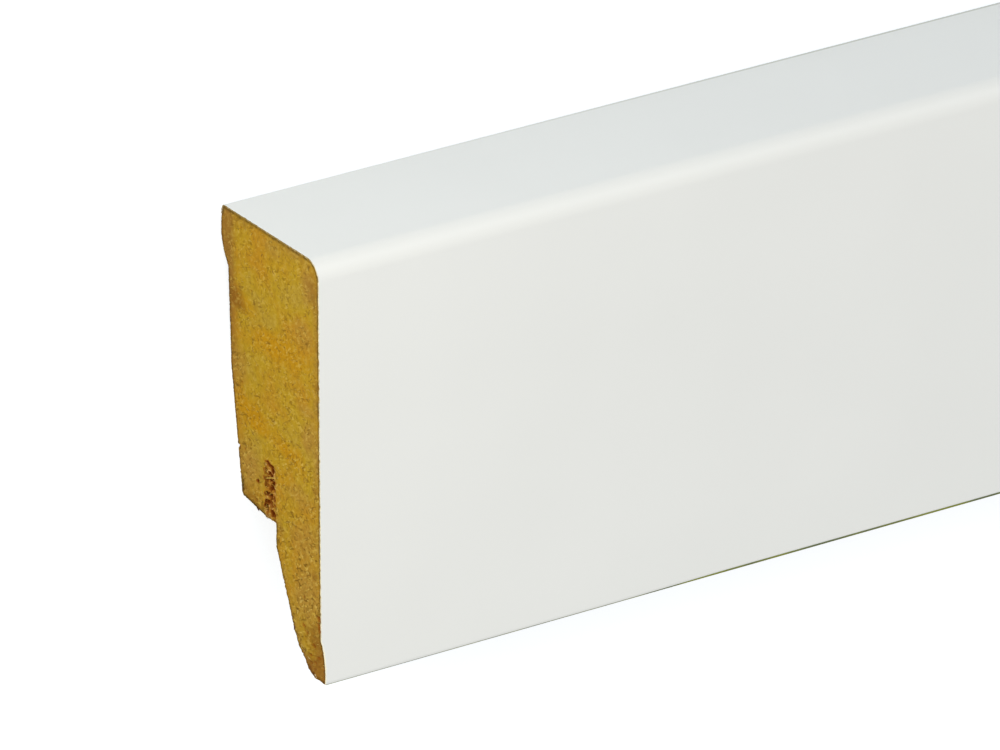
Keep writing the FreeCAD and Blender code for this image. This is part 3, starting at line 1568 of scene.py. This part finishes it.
@dataclass(frozen=True)
class Viewpoint:
    """The camera, by where the shown end's front bottom corner stands in a 1000 by 750 picture.

    Its angles are on the fitted board: yaw from looking square at the show face, pitch downwards,
    and roll about the line of sight.
    """

    yaw: float = 33.175
    pitch: float = 24.444
    roll: float = 0.077
    corner_px: Span = (321.83, 687.25)
    px_per_mm: float = 7.9748
    focal_px: float = 12701.0
    picture_px: Span = (1000.0, 750.0)
    sensor_mm: float = 36.0
    clip_m: Span = (0.05, 200.0)

    def build(self, axes: BoardAxes) -> None:
        """Adds the camera and makes it the scene's.

        Args:
            axes: The board's axes.
        """
        yaw, pitch, roll = (math.radians(angle) for angle in (self.yaw, self.pitch, self.roll))
        away = Vector((math.sin(yaw) * math.cos(pitch), math.cos(yaw) * math.cos(pitch), -math.sin(pitch)))
        level = away.cross(Vector((0.0, 0.0, 1.0))).normalized()
        plumb = away.cross(level)
        right = math.cos(roll) * level + math.sin(roll) * plumb
        down = math.cos(roll) * plumb - math.sin(roll) * level
        across, below = (
            (pixel - size / 2.0) / self.px_per_mm for pixel, size in zip(self.corner_px, self.picture_px)
        )
        distance = self.focal_px / self.px_per_mm
        stand = -(right * across + down * below + away * distance)
        rotation = Matrix((axes.way(*right), axes.way(*-down), axes.way(*-away))).transposed()
        lens = bpy.data.cameras.new("camera")
        lens.sensor_width = self.sensor_mm
        lens.lens = self.focal_px / self.picture_px[0] * self.sensor_mm
        lens.clip_start, lens.clip_end = self.clip_m
        camera = put_in_scene("camera", lens)
        camera.matrix_world = Matrix.Translation(axes.place(*stand)) @ rotation.to_4x4()
        bpy.context.scene.camera = camera


@dataclass(frozen=True)
class Lamp:
    """A soft area lamp: where it stands from the board's shown end, its width and its watts."""

    name: str
    stand: tuple[float, float, float]
    size: float
    power: float
    colour: str


@dataclass
class Studio:
    """A plain pale floor under a white sky, with soft lamps."""

    axes: BoardAxes
    floor_radius_m: float = 60.0
    floor_sides: int = 64
    floor_colour: str = "BEC6CE"
    floor_lift: float = 0.69
    sky: float = 0.72
    sky_colour: str = "FDFEFF"
    seen_sky: str = "FFFFFF"
    target: tuple[float, float, float] = (40.0, 5.0, 30.0)
    lamps: tuple[Lamp, ...] = (
        Lamp("key_lamp", (-316.0, -155.0, 215.0), 240.0, 0.80, "FFF9EC"),
        Lamp("ridge_lamp", (1450.0, -1620.0, 1940.0), 1300.0, 7.9, "F0F6FF"),
    )

    def build(self) -> None:
        """Adds the floor, the sky and the lamps."""
        self._floor()
        self._sky()
        for lamp in self.lamps:
            self._hang(lamp)
        bpy.context.scene.view_settings.view_transform = "Standard"

    def _looked_at(self, tree: Tree) -> Socket:
        """Adds the nodes that tell rays which end in the eye from those that light a surface.

        Args:
            tree: The node tree of the floor or the sky.

        Returns:
            The socket that gives one for the former and zero for the latter.
        """
        rays = add_node(tree, "LightPath").outputs
        looked_at = rays["Is Camera Ray"]
        for kind in ("Is Glossy Ray", "Is Transmission Ray"):
            looked_at = add_node(tree, "Math", {0: looked_at, 1: rays[kind]}, operation="MAXIMUM").outputs[0]
        return looked_at

    def _floor(self) -> None:
        """Lays the floor that the board rests on, lifted to white where no shadow falls on it."""
        bpy.ops.object.select_all(action="DESELECT")
        bpy.ops.mesh.primitive_circle_add(
            vertices=self.floor_sides, radius=self.floor_radius_m, fill_type="NGON")
        floor = bpy.context.active_object
        floor.name = "floor"
        material, tree = new_material("pale_floor")
        painted = add_node(tree, "BsdfDiffuse", {"Color": to_linear(self.floor_colour)}).outputs[0]
        lift = add_node(tree, "Emission", {"Strength": self.floor_lift}).outputs[0]
        lifted = add_node(tree, "AddShader", {0: painted, 1: lift}).outputs[0]
        seen = add_node(tree, "MixShader", {0: self._looked_at(tree), 1: painted, 2: lifted})
        add_node(tree, "OutputMaterial", {"Surface": seen.outputs[0]})
        coat(floor, material)

    def _sky(self) -> None:
        """Makes the world an even white, at full white where the camera sees it."""
        world = bpy.data.worlds.new("studio_sky")
        bpy.context.scene.world = world
        world.use_nodes = True
        tree = world.node_tree
        tree.nodes.clear()
        lighting, shown = (
            add_node(tree, "Background", {"Color": to_linear(colour), "Strength": strength}).outputs[0]
            for colour, strength in ((self.sky_colour, self.sky), (self.seen_sky, 1.0))
        )
        either = add_node(tree, "MixShader", {0: self._looked_at(tree), 1: lighting, 2: shown})
        add_node(tree, "OutputWorld", {"Surface": either.outputs[0]})

    def _hang(self, lamp: Lamp) -> None:
        """Hangs one lamp and aims it at the shown end.

        Args:
            lamp: The lamp's place, size and light.
        """
        light = bpy.data.lights.new(lamp.name, "AREA")
        light.shape = "DISK"
        light.size = lamp.size * MM
        light.energy = lamp.power
        light.color = to_linear(lamp.colour)[:3]
        stand = put_in_scene(lamp.name, light)
        stand.location = self.axes.place(*lamp.stand)
        look = self.axes.place(*self.target) - stand.location
        stand.rotation_euler = look.to_track_quat("-Z", "Y").to_euler()
        stand.visible_camera = False


@dataclass
class SkirtingBoard:
    """The whole board: its core, its foil and the torn fibre at its ends.

    A nick's row is its middle inward and upward, its half sizes and the darkness of its painted shade. A
    stain's row is its middle, its half sizes, and then its turn and its strength where it has them.
    """

    axes: BoardAxes
    nodes: Mapping[str, bpy.types.Object]
    groove: ClipGroove
    seed: int = 58
    cells: Span = (0.16, 0.3)
    fibre_counts: tuple[int, int] = (220, 120)
    nicks: tuple[Hollow, ...] = tuple(Hollow(*row) for row in (
        (14.75, 22.75, 0.42, 0.22, 0.9), (19.15, 26.00, 0.36, 0.30, 0.0), (0.50, 9.10, 0.50, 0.30, 0.5),
        (0.48, 7.90, 0.46, 0.55, 0.5), (4.32, 6.85, 0.28, 0.28, 0.36), (3.55, 6.15, 0.30, 0.30, 0.36),
        (2.05, 4.90, 0.28, 0.28, 0.34), (1.55, 3.30, 0.36, 0.26, 0.36), (3.20, 3.15, 0.32, 0.26, 0.38),
        (2.40, 2.20, 0.26, 0.26, 0.34), (3.40, 1.95, 0.24, 0.24, 0.38),
    ))
    stains: Mapping[str, Sequence[Stain]] = field(default_factory=lambda: {
        name: [Stain(*row) for row in rows] for name, rows in {
            "resin": (
                (9.5, 42.8, 7.5, 2.4, -3.0), (15.5, 31.4, 4.8, 2.0, 12.0), (7.5, 29.5, 5.0, 1.8, 14.0),
                (12.0, 53.6, 4.6, 2.2, 0.0, 0.2), (8.8, 25.4, 1.5, 1.1, 0.0, 0.8),
                (16.5, 46.0, 3.0, 1.5, 0.0, 0.5),
            ),
            "dry": (
                (16.6, 24.0, 3.2, 3.6), (2.8, 33.2, 1.9, 2.6, 0.0, 0.9), (2.4, 54.0, 2.0, 2.8),
                (3.2, 36.8, 2.6, 1.1, 0.0, 0.6), (18.6, 37.4, 1.8, 2.6, 0.0, 0.7),
                (3.6, 47.2, 2.6, 1.9, 0.0, 0.6), (3.2, 11.4, 3.4, 5.4, 0.0, 0.9),
                (3.8, 18.6, 3.6, 3.0, 0.0, 0.7), (5.2, 24.4, 3.8, 1.6, 0.0, 0.6),
                (10.8, 56.0, 2.2, 1.2, 0.0, 0.6),
            ),
            "scorched": (
                (19.4, 46.1, 1.7, 1.7, 0.0, 0.8), (15.6, 19.9, 3.2, 0.9, 0.0, 0.6),
                (17.8, 20.6, 1.0, 0.9, 0.0, 0.7), (9.1, 17.8, 1.0, 0.9, 0.0, 0.35),
                (0.6, 46.2, 0.5, 1.2, 0.0, 0.5), (0.6, 41.0, 0.6, 1.0, 0.0, 0.5),
                (0.5, 38.3, 0.5, 0.8, 0.0, 0.5), (1.5, 14.6, 1.1, 0.7, 0.0, 0.4),
                (1.2, 26.6, 0.9, 0.8, 0.0, 0.4), (1.4, 5.9, 2.8, 2.1, 0.0, 0.7),
                (1.4, 53.8, 1.5, 2.3, 0.0, 0.4),
            ),
            # Near-black lines and spots; the streak along the heel's rounding at the toe is painted shade
            # where the rounding turns from the light.
            "near_black_and_shade": (
                (15.3, 19.15, 2.9, 0.25, 9.5), (18.15, 21.1, 0.25, 1.4), (3.62, 0.93, 1.15, 0.36, 47.0),
                (0.5, 0.1, 0.8, 0.22, 0.0, 0.9), (0.45, 2.7, 0.38, 3.2, 0.0, 0.85),
            ),
        }.items()
    })
    tufts: tuple[Tuft, ...] = (
        Tuft(6.40, 5.60, 68.0, 0.02, count=7),
        Tuft(14.76, 18.92, 5.0, 0.02, count=8),
        Tuft(2.55, 0.27, 60.0, 1.0, count=6, stout=2.2),
        Tuft(3.76, 2.49, 75.0, 0.8, count=2, stout=1.7),
        Tuft(3.52, 1.12, 39.0, 0.02),
        Tuft(3.02, 0.70, 39.0, 0.02),
    )

    def build(self) -> None:
        """Builds, dresses and hands over every piece of the board."""
        toe_break = ToeBreak()
        shown = SawnEnd(self.axes, BoardEnd.SHOWN, self.cells[0], relief=CutRelief(nicks=self.nicks),
                        toe_break=toe_break, clogged=self.groove, stains=self.stains)
        far = SawnEnd(self.axes, BoardEnd.FAR, self.cells[1])
        core = FibreboardCore(self.axes, self.nodes["fibreboard_core"], (shown, far))
        self._finish(core, "fibreboard_core")
        self._finish(DecorFoil(self.axes, self.nodes["white_foil"], toe_break), "white_foil")
        plug = CloggedGroove(self.axes, self.groove, shown, core.finish)
        self._finish(plug)
        draw = random.Random(self.seed)
        loose = LooseFibre().material(self.axes)
        strands = TornFibres(self.axes, "groove_fibre_strands", shown, plug.strands(draw), loose)
        self._finish(strands)
        tufts = [fibre for tuft in self.tufts for fibre in tuft.fibres(draw)]
        self._finish(TornFibres(self.axes, "edge_tufts", shown, tufts, loose))
        for end, count in zip((shown, far), self.fibre_counts):
            fibres = StrewnFibres(count).fibres(core.places[end.end], draw)
            name = f"torn_fibres_{end.end.name.lower()}_end"
            self._finish(TornFibres(self.axes, name, end, fibres, loose))

    def _finish(self, part: Any, node: str | None = None) -> None:
        """Builds and dresses one part, ties it to the frame and reports it.

        Args:
            part: The part, with its build and dress methods.
            node: The CAD node that it stands for, if it does.
        """
        piece = part.build()
        part.dress(piece)
        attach(piece, ROOT_BODY)
        if node:
            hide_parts(node)
        LOG.info("%s: %d points, %d faces", piece.name, len(piece.data.vertices), len(piece.data.polygons))


def main() -> None:
    """Builds the board, then the studio and the camera."""
    logging.basicConfig(level=logging.INFO, format="%(name)s: %(message)s")
    nodes, record = frame["nodes"], frame["record"]
    axes = BoardAxes.from_frame(record, nodes["white_foil"])
    groove = next(mount for mount in record["mounts"] if mount["name"] == "clip_groove")
    mouth = axes.measure(Vector(groove["pos_m"]))
    SkirtingBoard(axes, nodes, ClipGroove(mouth)).build()
    Studio(axes).build()
    Viewpoint().build(axes)


if __name__ == "__main__":
    main()
